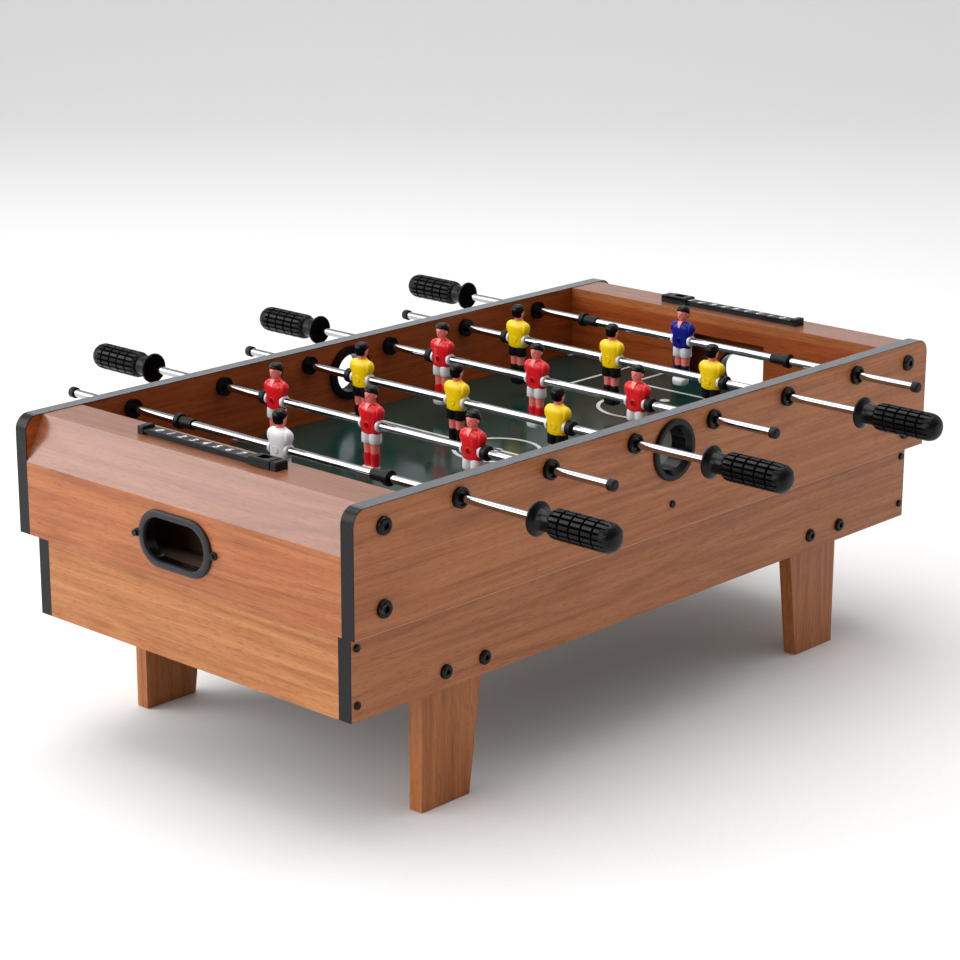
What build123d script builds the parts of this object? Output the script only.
from build123d import *
import math
import os

# A table-top football game: a two-tier wooden cabinet on four board legs, with six
# sliding and spinning rods. Millimetres. X runs along the table, Y across it, +Z up.
# The origin is on the floor, under the middle of the table.

# ---- driving dimensions -------------------------------------------------------------
LENGTH = 690.0            # over the upper side panels
WIDTH = 366.0             # over the upper side panels
HEIGHT = 256.0            # floor to the top of the side panels
BOARD = 12.0              # side panels, lower boards and legs
COVER = 8.0               # folded end covers and goal walls
BAND = 0.8                # black edge band on the boards' cut edges

LEG_CLEAR = 97.0          # floor to the lower frame
UPPER_BOTTOM = 162.5      # lower edge of the upper side panels
FIELD_DEPTH = 63.5        # playing surface, below the panels' top edge
FIELD_THICK = 3.0
CORNER_RADIUS = 12.0      # upper corners of the side panels

FIELD_END = 290.0         # goal wall's inner face, from the middle
CREASE_X = 327.5          # where the end cover's flat top turns down into its slope
CREASE_Z = 221.0          # where the slope turns into the end cover's upright face
TOP_DROP = 0.5            # flat top, below the side panels' top edge

ROD_PITCH = 96.0
ROD_DROP = 13.0           # rod axis, below the panels' top edge
ROD_RADIUS = 3.25
ROD_WALL = 0.8
RUNNING = 0.08            # radial clearance of a rod in its bushings and bumpers
PLAYER_PITCH = 107.0

# ---- derived levels and faces -------------------------------------------------------
HALF_L = LENGTH / 2
HALF_W = WIDTH / 2
INNER_Y = HALF_W - BOARD              # inner face of an upper side panel
LOWER_Y = INNER_Y - BOARD             # inner face of a lower side board
LOWER_X = HALF_L - COVER              # outer face of a lower end board
FIELD_Z = HEIGHT - FIELD_DEPTH
FIELD_UNDER = FIELD_Z - FIELD_THICK
TOP_Z = HEIGHT - TOP_DROP
TOP_UNDER = TOP_Z - COVER
GOAL_X = FIELD_END + COVER            # outer face of a goal wall
BATTEN_X = GOAL_X - BOARD             # inner face of the batten under a field end
ROD_Z = HEIGHT - ROD_DROP
ROD_X = [ROD_PITCH * (i - 2.5) for i in range(6)]

# ---- openings and hardware ----------------------------------------------------------
GOAL_HALF_W, GOAL_H = 51.0, 43.5
TRAY_THICK = 6.0
RETURN_Z = 193.0                      # middle of the oval ball return
RETURN_HOLE = (66.0, 33.0)
RETURN_SLEEVE = (70.0, 37.0)
RETURN_FLANGE = (79.0, 44.0)
EAR_Y = 42.0
SERVE_Z = 228.0                       # middle of the round serve hole
SERVE_BORE, SERVE_SLEEVE, SERVE_FLANGE, SERVE_NUT = 16.5, 18.5, 24.5, 23.5
FUNNEL_FLARE, FUNNEL_DEPTH = 3.5, 4.2
FLANGE_THICK = 3.0

BUSH_SLEEVE, BUSH_FLANGE, BUSH_THICK = 5.0, 7.75, 4.0
DISH_RADIUS, DISH_DEPTH = 5.6, 1.5    # hollow in a bushing's outer face

PANEL_BOLT_X, PANEL_BOLT_Z = 316.0, (239.5, 179.5)
PANEL_HEAD, PANEL_HEAD_H = 6.75, 3.5
CORNER_BLOCK = 24.0                   # a glue block's length and width
BLOCK_GRIP = 16.0                     # an upper panel bolt's reach into its glue block
LEG_BOLT_X, LEG_BOLT_Z = (200.5, 241.5), 110.0
LEG_HEAD, LEG_HEAD_H = 5.5, 3.0
BOLT_SHANK, BOLT_NUT, BOLT_NUT_H = 2.5, 4.6, 4.0
SOCKET_SIZE = 0.42                    # hexagon socket, as a part of the head's radius
SOCKET_DEPTH, HEAD_ROUND = 0.6, 0.6   # as parts of the head's height
FRAME_SCREW_X, FRAME_SCREW_Z, FRAME_SCREW_LENGTH = 331.0, (151.5, 109.0), 24.0
MID_SCREW_Z, MID_SCREW_LENGTH = 184.5, 20.0
SCREW_SHANK, SCREW_HEAD, SCREW_HEAD_H = 1.5, 3.0, 1.8
EAR_RADIUS, EAR_SCREW_HEAD, EAR_SCREW_H = 3.2, 2.4, 1.2

LEG_OUTER_X = 254.5                   # a leg's upright edge
LEG_FOOT_W = 51.0
LEG_TAPER = 12.5 / 90.0               # how fast a leg widens towards its top
LEG_TOP_Z = 155.0

# distances along a rod, from its middle towards the handle
GUARD_S, NECK_S, GRIP_S, DOME_S, TIP_S = 256.0, 268.0, 270.0, 318.0, 328.5
GUARD_RADIUS, NECK_RADIUS, GRIP_RADIUS, SHOULDER = 12.6, 7.9, 11.0, 1.4
RIM, FLARE_S = 1.0, 261.0             # the guard's bevel and rim, and the foot of its flare
GROOVE_S, GROOVE_W, GROOVE_DEPTH = (276.8, 286.9, 297.0, 307.1), 1.4, 0.8
TUBE_END_S = 300.0
CAP_S, CAP_LENGTH, CAP_RADIUS, CAP_WALL, CAP_ROUND = 240.0, 6.0, 4.5, 2.0, 2.0

BOSS_HALF, BOSS_RADIUS = 10.5, 5.2
BUMPER_LENGTH, BUMPER_RADIUS, BUMPER_GAP = 5.8, 6.0, 0.2
COLLAR_S, COLLAR_SLEEVE, COLLAR_FLANGE = 97.7, 14.0, 4.0
COLLAR_RADIUS = 4.4

RAIL_X = (FIELD_END + CREASE_X) / 2   # score rails run down the middle of each flat top
RAIL_LENGTH, RAIL_END, RAIL_END_H = 150.0, 6.0, 6.5
RAIL_FOOT_W, RAIL_FOOT_H = 8.0, 2.0
RAIL_W, RAIL_PLATE_H = 11.0, 2.5
BLOCK_W = 12.0
SLIDER_LENGTH, SLIDER_W, SLIDER_TOP, SLIDER_GAP = 22.0, 13.2, 2.0, 0.3
SLIDER_LIFT = 0.5                     # a slider's clearance over the table's flat top
WINDOW = (8.0, 10.0)                  # a slider's window, across and along the rail

# a player, about the rod axis
HEAD_TOP, SHOULDER_Z, WAIST_Z, SHORTS_Z, ANKLE_Z, FOOT_BOTTOM = 30.7, 15.5, -7.0, -14.8, -33.5, -40.0
HEAD_RADIUS, THROAT_RADIUS, THROAT_Z = 6.2, 3.3, (13.0, 21.0)
ARMPIT_Z, CHEST_Z = 6.5, 11.0
WAIST, ARMPIT = (5.2, 9.0), (5.8, 10.3)   # half depth and half width of the torso
CHEST, YOKE = (6.0, 12.6), (4.2, 8.8)
SHORTS = (5.0, 8.6)
FOOT_X, FOOT_HALF_W = (-4.5, 7.5), 7.0
LEG_RADIUS, LEG_SPLIT = 3.6, 3.7
CLAMP_SHANK, CLAMP_HEAD, CLAMP_POCKET = 1.0, 1.8, 2.3
CLAMP_FACE, CLAMP_HEAD_H, CLAMP_TIP = 4.6, 1.2, 4.5

# small radii and cutting allowances
SOFT = 1.0                            # rounding on small turned and moulded edges
BEVEL = 0.8                           # bevel on the score counters
FUNNEL_BEVEL = 1.2
CUT = 1.0                             # how far a cut runs past the face it opens
BLIND = 2.0                           # how far a blind hole runs past its fastener's tip

os.makedirs("parts", exist_ok=True)


def save(name, *solids):
    """Write one node, made of one or more separate solids."""
    shapes = [s for part in solids for s in part.solids()]
    export_step(Compound(children=shapes), f"parts/{name}.step")


def slab(x0, x1, y0, y1, z0, z1):
    """A box between pairs of opposite faces."""
    centre = Pos((x0 + x1) / 2, (y0 + y1) / 2, (z0 + z1) / 2)
    return centre * Box(abs(x1 - x0), abs(y1 - y0), abs(z1 - z0))


def rod_y(x, y0, y1, z, radius):
    """A cylinder along Y."""
    return Pos(x, (y0 + y1) / 2, z) * Rot(90, 0, 0) * Cylinder(radius, abs(y1 - y0))


def rod_x(x0, x1, y, z, radius):
    """A cylinder along X."""
    return Pos((x0 + x1) / 2, y, z) * Rot(0, 90, 0) * Cylinder(radius, abs(x1 - x0))


def rod_z(y, z0, z1, radius):
    """A cylinder along Z, on the rod's plane."""
    return Pos(0, y, (z0 + z1) / 2) * Cylinder(radius, abs(z1 - z0))


def ring_y(x, y0, y1, z, radius, bore):
    return rod_y(x, y0, y1, z, radius) - rod_y(x, y0, y1, z, bore)


def outer_edges(shape):
    """The edges of a piece's farthest face towards +Y."""
    return shape.faces().sort_by(Axis.Y)[-1].edges()


def half_turn(shape):
    """The same piece on the opposite side of the table."""
    return Rot(0, 0, 180) * shape


def other_end(shape):
    return mirror(shape, about=Plane.YZ)


def other_side(shape):
    return mirror(shape, about=Plane.XZ)


def four_ways(shape):
    """The piece and its mirror images in all four corners."""
    pair = [shape, other_end(shape)]
    return pair + [other_side(s) for s in pair]


# ---- upper side panels --------------------------------------------------------------
def panel_blank(half_length, top, radius):
    """A side panel's outline with two rounded upper corners, one board thick."""
    middle = Plane.XZ.offset(-HALF_W) * Pos(0, (UPPER_BOTTOM + top) / 2)
    outline = middle * Rectangle(2 * half_length, top - UPPER_BOTTOM)
    corners = outline.vertices().sort_by(Axis.Z)[-2:]
    return extrude(fillet(corners, radius), BOARD)


def upper_blank():
    return panel_blank(HALF_L - BAND, HEIGHT - BAND, CORNER_RADIUS - BAND)


def upper_band():
    return panel_blank(HALF_L, HEIGHT, CORNER_RADIUS) - upper_blank()


def side_panel():
    """The panel on the +Y side, drilled for rods, serve cup, bolts and the middle screw."""
    panel = upper_blank()
    reach = (INNER_Y - CUT, HALF_W + CUT)
    for x in ROD_X:
        panel -= rod_y(x, *reach, ROD_Z, BUSH_SLEEVE)
    panel -= rod_y(0, *reach, SERVE_Z, SERVE_SLEEVE)
    panel -= rod_y(0, *reach, MID_SCREW_Z, SCREW_SHANK)
    for x in (-PANEL_BOLT_X, PANEL_BOLT_X):
        for z in PANEL_BOLT_Z:
            panel -= rod_y(x, *reach, z, BOLT_SHANK)
    return panel


# ---- lower frame --------------------------------------------------------------------
def lower_side():
    """The recessed side board, which also carries the playing surface on its top edge."""
    board = slab(-LOWER_X + BAND, LOWER_X - BAND, LOWER_Y, INNER_Y, LEG_CLEAR, FIELD_UNDER)
    reach = (LOWER_Y - CUT, INNER_Y + CUT)
    for side in (-1, 1):
        for x in LEG_BOLT_X:
            board -= rod_y(side * x, *reach, LEG_BOLT_Z, BOLT_SHANK)
        for z in FRAME_SCREW_Z:
            board -= rod_y(side * FRAME_SCREW_X, *reach, z, SCREW_SHANK)
        board -= rod_y(side * PANEL_BOLT_X, *reach, PANEL_BOLT_Z[1], BOLT_SHANK)
    hole_end = HALF_W - MID_SCREW_LENGTH - BLIND
    return board - rod_y(0, hole_end, INNER_Y + CUT, MID_SCREW_Z, SCREW_SHANK)


def lower_band():
    return slab(LOWER_X - BAND, LOWER_X, LOWER_Y, INNER_Y, LEG_CLEAR, FIELD_UNDER)


def lower_end():
    board = slab(LOWER_X - BOARD, LOWER_X, -LOWER_Y, LOWER_Y, LEG_CLEAR, UPPER_BOTTOM)
    hole_end = INNER_Y - FRAME_SCREW_LENGTH - BLIND
    for z in FRAME_SCREW_Z:
        hole = rod_y(FRAME_SCREW_X, LOWER_Y + CUT, hole_end, z, SCREW_SHANK)
        board -= hole
        board -= other_side(hole)
    return board


# ---- ends: folded cover, goal wall, ball tray ---------------------------------------
def end_cover():
    """One board folded over: flat top, steep slope, upright face with the oval return."""
    run, rise = HALF_L - CREASE_X, TOP_Z - CREASE_Z
    lower_turn = math.atan2(run, rise)
    upper_turn = math.pi / 2 - lower_turn
    inner_low = (LOWER_X, CREASE_Z - COVER * math.tan(lower_turn / 2))
    inner_high = (CREASE_X - COVER * math.tan(upper_turn / 2), TOP_UNDER)
    outline = Polyline(
        (HALF_L, UPPER_BOTTOM), (HALF_L, CREASE_Z), (CREASE_X, TOP_Z), (FIELD_END, TOP_Z),
        (FIELD_END, TOP_UNDER), inner_high, inner_low, (LOWER_X, UPPER_BOTTOM), close=True)
    cover = extrude(Plane.XZ.offset(-INNER_Y) * make_face(outline), 2 * INNER_Y)
    cover -= oval(RETURN_SLEEVE, LOWER_X - CUT, HALF_L + CUT)
    for y in (-EAR_Y, EAR_Y):
        cover -= rod_x(LOWER_X - CUT, HALF_L + CUT, y, RETURN_Z, SCREW_SHANK)
    return cover


def oval(size, x0, x1):
    """A solid with an oval section, lying along X at the ball return."""
    section = Plane.YZ.offset(x0) * Pos(0, RETURN_Z) * SlotOverall(*size)
    return extrude(section, x1 - x0)


def return_ring():
    """Oval trim with a sleeve through the cover and a screw ear at each end."""
    face = HALF_L + FLANGE_THICK
    ring = oval(RETURN_FLANGE, HALF_L, face)
    for y in (-EAR_Y, EAR_Y):
        ring += rod_x(HALF_L, face, y, RETURN_Z, EAR_RADIUS)
    ring += oval(RETURN_SLEEVE, LOWER_X, HALF_L)
    ring -= oval(RETURN_HOLE, LOWER_X - CUT, face + CUT)
    for y in (-EAR_Y, EAR_Y):
        ring -= rod_x(HALF_L - CUT, face + CUT, y, RETURN_Z, SCREW_SHANK)
    return ring


def goal_wall():
    wall = slab(FIELD_END, GOAL_X, -INNER_Y, INNER_Y, FIELD_Z, TOP_UNDER)
    mouth = slab(FIELD_END - CUT, GOAL_X + CUT, -GOAL_HALF_W, GOAL_HALF_W,
                 FIELD_Z - CUT, FIELD_Z + GOAL_H)
    return wall - mouth


def ball_tray():
    return slab(BATTEN_X, LOWER_X, -LOWER_Y, LOWER_Y, UPPER_BOTTOM, UPPER_BOTTOM + TRAY_THICK)


def field_batten():
    """Cross batten that stands on the ball tray and holds up the end of the field."""
    return slab(BATTEN_X, GOAL_X, -LOWER_Y, LOWER_Y, UPPER_BOTTOM + TRAY_THICK, FIELD_UNDER)


def corner_block():
    """Glue block between a goal wall and the slope, which takes the upper panel bolt."""
    block = slab(GOAL_X, GOAL_X + CORNER_BLOCK, INNER_Y - CORNER_BLOCK, INNER_Y,
                 FIELD_UNDER, TOP_UNDER)
    hole_end = INNER_Y - BLOCK_GRIP - BLIND
    return block - rod_y(PANEL_BOLT_X, hole_end, INNER_Y + CUT, PANEL_BOLT_Z[0], BOLT_SHANK)


def playfield():
    return slab(-GOAL_X, GOAL_X, -INNER_Y, INNER_Y, FIELD_UNDER, FIELD_Z)


# ---- legs ---------------------------------------------------------------------------
def leg():
    """A flat tapered board inside a lower side board, in the +X +Y corner."""
    foot_x = LEG_OUTER_X - LEG_FOOT_W
    outline = Polyline(
        (LEG_OUTER_X, 0), (LEG_OUTER_X, LEG_TOP_Z),
        (foot_x - LEG_TAPER * LEG_TOP_Z, LEG_TOP_Z), (foot_x, 0), close=True)
    board = extrude(Plane.XZ.offset(-LOWER_Y) * make_face(outline), BOARD)
    for x in LEG_BOLT_X:
        board -= rod_y(x, LOWER_Y - BOARD - CUT, LOWER_Y + CUT, LEG_BOLT_Z, BOLT_SHANK)
    return board


# ---- fasteners ----------------------------------------------------------------------
def bolt(x, z, face, tip, head, head_h):
    """A button-head bolt from a +Y face inwards, with a hexagon socket in its head."""
    body = rod_y(x, face, face + head_h, z, head)
    body = fillet(outer_edges(body), head_h * HEAD_ROUND)
    socket = Plane.XZ.offset(-(face + head_h)) * Pos(x, z) * RegularPolygon(head * SOCKET_SIZE, 6)
    body -= extrude(socket, head_h * SOCKET_DEPTH)
    return body + rod_y(x, tip, face, z, BOLT_SHANK)


def nut(x, z, face):
    """A hexagon nut against a board's inner face."""
    hexagon = Plane.XZ.offset(-face) * Pos(x, z) * RegularPolygon(BOLT_NUT, 6)
    bore = rod_y(x, face + CUT, face - BOLT_NUT_H - CUT, z, BOLT_SHANK)
    return extrude(hexagon, BOLT_NUT_H) - bore


def panel_bolts():
    bolts = []
    for z, tip in zip(PANEL_BOLT_Z, (INNER_Y - BLOCK_GRIP, LOWER_Y - BOLT_NUT_H)):
        bolts += four_ways(bolt(PANEL_BOLT_X, z, HALF_W, tip, PANEL_HEAD, PANEL_HEAD_H))
    return bolts


def leg_bolts():
    tip = LOWER_Y - BOARD - BOLT_NUT_H
    bolts = []
    for x in LEG_BOLT_X:
        bolts += four_ways(bolt(x, LEG_BOLT_Z, INNER_Y, tip, LEG_HEAD, LEG_HEAD_H))
    return bolts


def frame_nuts():
    nuts = four_ways(nut(PANEL_BOLT_X, PANEL_BOLT_Z[1], LOWER_Y))
    for x in LEG_BOLT_X:
        nuts += four_ways(nut(x, LEG_BOLT_Z, LOWER_Y - BOARD))
    return nuts


def screw_y(x, z, face, length):
    """A small pan-head screw driven inwards from a +Y face."""
    head = rod_y(x, face, face + SCREW_HEAD_H, z, SCREW_HEAD)
    return fillet(outer_edges(head), SOFT) + rod_y(x, face - length, face, z, SCREW_SHANK)


def wood_screws():
    screws = []
    for z in FRAME_SCREW_Z:
        screws += four_ways(screw_y(FRAME_SCREW_X, z, INNER_Y, FRAME_SCREW_LENGTH))
    middle = screw_y(0, MID_SCREW_Z, HALF_W, MID_SCREW_LENGTH)
    screws += [middle, other_side(middle)]
    ear_face = HALF_L + FLANGE_THICK
    for y in (-EAR_Y, EAR_Y):
        ear = rod_x(ear_face, ear_face + EAR_SCREW_H, y, RETURN_Z, EAR_SCREW_HEAD)
        ear += rod_x(LOWER_X, ear_face, y, RETURN_Z, SCREW_SHANK)
        screws += [ear, other_end(ear)]
    return screws


# ---- serve cups and rod bushings ----------------------------------------------------
def serve_cup():
    """Round funnel through the +Y side panel, in the middle of the table."""
    mouth, back = HALF_W + FLANGE_THICK, INNER_Y - FLANGE_THICK
    cup = chamfer(outer_edges(rod_y(0, HALF_W, mouth, SERVE_Z, SERVE_FLANGE)), FUNNEL_BEVEL)
    cup += rod_y(0, back, HALF_W, SERVE_Z, SERVE_SLEEVE)
    cup -= rod_y(0, back - CUT, mouth + CUT, SERVE_Z, SERVE_BORE)
    cone = Cone(SERVE_BORE, SERVE_BORE + FUNNEL_FLARE, FUNNEL_DEPTH)
    return cup - Pos(0, mouth - FUNNEL_DEPTH / 2, SERVE_Z) * Rot(-90, 0, 0) * cone


def serve_nut():
    return ring_y(0, INNER_Y - FLANGE_THICK, INNER_Y, SERVE_Z, SERVE_NUT, SERVE_SLEEVE)


def bushing(x):
    """Flanged plastic bush through the +Y side panel, with a dished outer face."""
    face, back = HALF_W + BUSH_THICK, INNER_Y - BUSH_THICK
    bush = fillet(outer_edges(rod_y(x, HALF_W, face, ROD_Z, BUSH_FLANGE)), SOFT)
    bush -= rod_y(x, face - DISH_DEPTH, face + CUT, ROD_Z, DISH_RADIUS)
    bush += rod_y(x, back, HALF_W, ROD_Z, BUSH_SLEEVE)
    return bush - rod_y(x, back - CUT, face + CUT, ROD_Z, ROD_RADIUS + RUNNING)


def bushing_nut(x):
    return ring_y(x, INNER_Y - BUSH_THICK, INNER_Y, ROD_Z, BUSH_FLANGE, BUSH_SLEEVE)


# ---- score counters -----------------------------------------------------------------
def score_rail():
    """T-shaped rail with a stop block at each end, on the flat top of the +X end."""
    half = RAIL_LENGTH / 2
    plate_z = TOP_Z + RAIL_FOOT_H
    rail = slab(RAIL_X - RAIL_FOOT_W / 2, RAIL_X + RAIL_FOOT_W / 2, -half, half, TOP_Z, plate_z)
    rail += slab(RAIL_X - RAIL_W / 2, RAIL_X + RAIL_W / 2, -half, half, plate_z, plate_z + RAIL_PLATE_H)
    for y in (-1, 1):
        block = slab(RAIL_X - BLOCK_W / 2, RAIL_X + BLOCK_W / 2, y * (half - RAIL_END), y * half,
                     TOP_Z, TOP_Z + RAIL_END_H)
        rail += chamfer(block.faces().sort_by(Axis.Z)[-1].edges(), BEVEL)
    return rail


def score_slider():
    """Windowed pointer that hooks under the rail, parked at the rail's +Y end."""
    middle = RAIL_LENGTH / 2 - RAIL_END - SLIDER_LENGTH / 2 - SLIDER_GAP
    y0, y1 = middle - SLIDER_LENGTH / 2, middle + SLIDER_LENGTH / 2
    low = TOP_Z + SLIDER_LIFT
    plate_low = TOP_Z + RAIL_FOOT_H - SLIDER_GAP
    plate_high = TOP_Z + RAIL_FOOT_H + RAIL_PLATE_H + SLIDER_GAP
    body = slab(RAIL_X - SLIDER_W / 2, RAIL_X + SLIDER_W / 2, y0, y1, low, plate_high + SLIDER_TOP)
    body = chamfer(body.faces().sort_by(Axis.Z)[-1].edges(), BEVEL)
    half_plate = RAIL_W / 2 + SLIDER_GAP
    half_foot = RAIL_FOOT_W / 2 + SLIDER_GAP
    reach = (y0 - CUT, y1 + CUT)
    body -= slab(RAIL_X - half_plate, RAIL_X + half_plate, *reach, plate_low, plate_high)
    body -= slab(RAIL_X - half_foot, RAIL_X + half_foot, *reach, low - CUT, plate_high)
    window = Pos(RAIL_X, middle, plate_high) * Box(*WINDOW, 2 * (SLIDER_TOP + CUT))
    return body - window


# ---- rods: each is drawn at the middle of the table with its handle towards -Y ------
def handle():
    """Guard disc, neck and ringed grip, turned about the rod, with a blind bore."""
    with BuildPart() as grip:
        with BuildSketch(Plane.XY):
            with BuildLine():
                Polyline((0, -GUARD_S), (GUARD_RADIUS - RIM, -GUARD_S),
                         (GUARD_RADIUS, -GUARD_S - RIM), (GUARD_RADIUS, -GUARD_S - 2 * RIM),
                         (GUARD_RADIUS - RIM, -GUARD_S - 3 * RIM), (NECK_RADIUS + RIM, -FLARE_S),
                         (NECK_RADIUS, -FLARE_S - 2 * RIM), (NECK_RADIUS, -NECK_S),
                         (GRIP_RADIUS - SHOULDER, -NECK_S), (GRIP_RADIUS, -GRIP_S),
                         (GRIP_RADIUS, -DOME_S))
                EllipticalCenterArc((0, -DOME_S), GRIP_RADIUS, TIP_S - DOME_S, -90, arc_size=90)
                Line((0, -TIP_S), (0, -GUARD_S))
            make_face()
        revolve(axis=Axis.Y)
    shape = grip.part
    for s in GROOVE_S:
        shape -= ring_y(0, -s - GROOVE_W / 2, -s + GROOVE_W / 2, 0,
                        GRIP_RADIUS + CUT, GRIP_RADIUS - GROOVE_DEPTH)
    return shape - rod_y(0, CUT - GUARD_S, -TUBE_END_S, 0, ROD_RADIUS)


def tube(player_ys):
    """Hollow steel rod, drilled across at each player for the clamp screw."""
    shape = rod_y(0, -TUBE_END_S, CAP_S + CAP_LENGTH - CAP_WALL, 0, ROD_RADIUS)
    shape -= rod_y(0, -TUBE_END_S - CUT, CAP_S + CAP_LENGTH, 0, ROD_RADIUS - ROD_WALL)
    for y in player_ys:
        shape -= rod_x(-ROD_RADIUS - CUT, ROD_RADIUS + CUT, y, 0, CLAMP_SHANK)
    return shape


def end_cap():
    cap = rod_y(0, CAP_S, CAP_S + CAP_LENGTH, 0, CAP_RADIUS)
    cap = fillet(outer_edges(cap), CAP_ROUND)
    return cap - rod_y(0, CAP_S - CUT, CAP_S + CAP_LENGTH - CAP_WALL, 0, ROD_RADIUS)


def bumper(side):
    """Rubber ring on the wall side of an outer player."""
    start = PLAYER_PITCH + BOSS_HALF + BUMPER_GAP
    end = start + BUMPER_LENGTH
    ring = rod_y(0, side * start, side * end, 0, BUMPER_RADIUS)
    ring = fillet(ring.edges().filter_by(GeomType.CIRCLE), SOFT)
    return ring - rod_y(0, side * (start - CUT), side * (end + CUT), 0, ROD_RADIUS + RUNNING)


def stop_collar(side):
    """Flanged collar that limits a goalkeeper's travel."""
    step = COLLAR_S + COLLAR_SLEEVE
    end = step + COLLAR_FLANGE
    collar = rod_y(0, side * COLLAR_S, side * step, 0, COLLAR_RADIUS)
    collar += rod_y(0, side * step, side * end, 0, BUMPER_RADIUS)
    bore = rod_y(0, side * (COLLAR_S - CUT), side * (end + CUT), 0, ROD_RADIUS + RUNNING)
    return collar - bore


# ---- players: each figure is drawn about the rod axis, facing +X ---------------------
def figure():
    """One moulded player: head, torso with bosses round the rod, shorts, legs and feet."""
    levels = ((WAIST_Z, WAIST), (ARMPIT_Z, ARMPIT), (CHEST_Z, CHEST), (SHOULDER_Z, YOKE))
    torso = loft([Pos(0, 0, z) * Ellipse(*size) for z, size in levels], ruled=True)
    body = torso + rod_z(0, *THROAT_Z, THROAT_RADIUS)
    body += Pos(0, 0, HEAD_TOP - HEAD_RADIUS) * Sphere(HEAD_RADIUS)
    body += rod_y(0, -BOSS_HALF, BOSS_HALF, 0, BOSS_RADIUS)
    body += slab(-SHORTS[0], SHORTS[0], -SHORTS[1], SHORTS[1], SHORTS_Z, WAIST_Z)
    for y in (-LEG_SPLIT, LEG_SPLIT):
        body += rod_z(y, SHORTS_Z, ANKLE_Z, LEG_RADIUS)
    body += slab(*FOOT_X, -FOOT_HALF_W, FOOT_HALF_W, FOOT_BOTTOM, ANKLE_Z)
    body -= rod_y(0, -BOSS_HALF - CUT, BOSS_HALF + CUT, 0, ROD_RADIUS)
    reach = CHEST[0] + CUT
    body -= rod_x(-reach, -CLAMP_FACE, 0, 0, CLAMP_POCKET)
    body -= rod_x(reach, CLAMP_FACE, 0, 0, CLAMP_POCKET)
    return body - rod_x(-reach, reach, 0, 0, CLAMP_SHANK)


def clamp_screw(y):
    """Small screw through a torso and both walls of the rod, its head towards -X."""
    screw = rod_x(-CLAMP_FACE - CLAMP_HEAD_H, -CLAMP_FACE, y, 0, CLAMP_HEAD)
    return screw + rod_x(-CLAMP_FACE, CLAMP_TIP, y, 0, CLAMP_SHANK)


def facing(shape, y, left):
    """Put a figure at Y on its rod, turned to face -X when left is true."""
    return Pos(0, y, 0) * (Rot(0, 0, 180) if left else Rot(0, 0, 0)) * shape


def make_rod(index, man):
    """All the nodes of one rod. Odd rods have their handle at -Y, even ones at +Y."""
    name = f"rod_{index + 1}"
    keeper = index in (0, 5)
    handle_far = index % 2 == 1
    player_ys = [0.0] if keeper else [-PLAYER_PITCH, 0.0, PLAYER_PITCH]
    place = Pos(ROD_X[index], 0, ROD_Z)
    turned = place * (Rot(0, 0, 180) if handle_far else Rot(0, 0, 0))
    stop = stop_collar if keeper else bumper
    save(f"{name}_tube", turned * tube(player_ys))
    save(f"{name}_handle", turned * handle())
    save(f"{name}_end_cap", turned * end_cap())
    save(f"{name}_bumpers", *[place * stop(side) for side in (-1, 1)])
    save(f"{name}_players", *[place * facing(man, y, handle_far) for y in player_ys])
    save(f"{name}_player_screws", *[place * clamp_screw(y) for y in player_ys])


def main():
    panel = side_panel()
    save("side_panel_back", panel)
    save("side_panel_front", other_side(panel))
    band = upper_band()
    save("edge_bands", band, other_side(band), *four_ways(lower_band()))
    board = lower_side()
    save("lower_side_boards", board, other_side(board))
    end = lower_end()
    save("lower_end_boards", end, other_end(end))
    cover = end_cover()
    save("end_cover_right", cover)
    save("end_cover_left", other_end(cover))
    wall = goal_wall()
    save("goal_walls", wall, other_end(wall))
    save("playfield", playfield())
    tray = ball_tray()
    save("ball_trays", tray, other_end(tray))
    batten = field_batten()
    save("inner_blocks", batten, other_end(batten), *four_ways(corner_block()))
    save("legs", *four_ways(leg()))
    save("leg_bolts", *leg_bolts())
    save("panel_bolts", *panel_bolts())
    save("frame_nuts", *frame_nuts())
    save("wood_screws", *wood_screws())
    ring = return_ring()
    save("return_rings", ring, other_end(ring))
    cup = serve_cup()
    save("serve_cups", cup, other_side(cup))
    save("serve_ring_nuts", serve_nut(), other_side(serve_nut()))
    bushes = [bushing(x) for x in ROD_X]
    save("rod_bushings", *bushes, *[other_side(bush) for bush in bushes])
    nuts = [bushing_nut(x) for x in ROD_X]
    save("bushing_nuts", *nuts, *[other_side(ring_nut) for ring_nut in nuts])
    rail = score_rail()
    save("score_rails", rail, half_turn(rail))
    slider = score_slider()
    save("score_slider_right", slider)
    save("score_slider_left", half_turn(slider))
    man = figure()
    for index in range(len(ROD_X)):
        make_rod(index, man)


main()
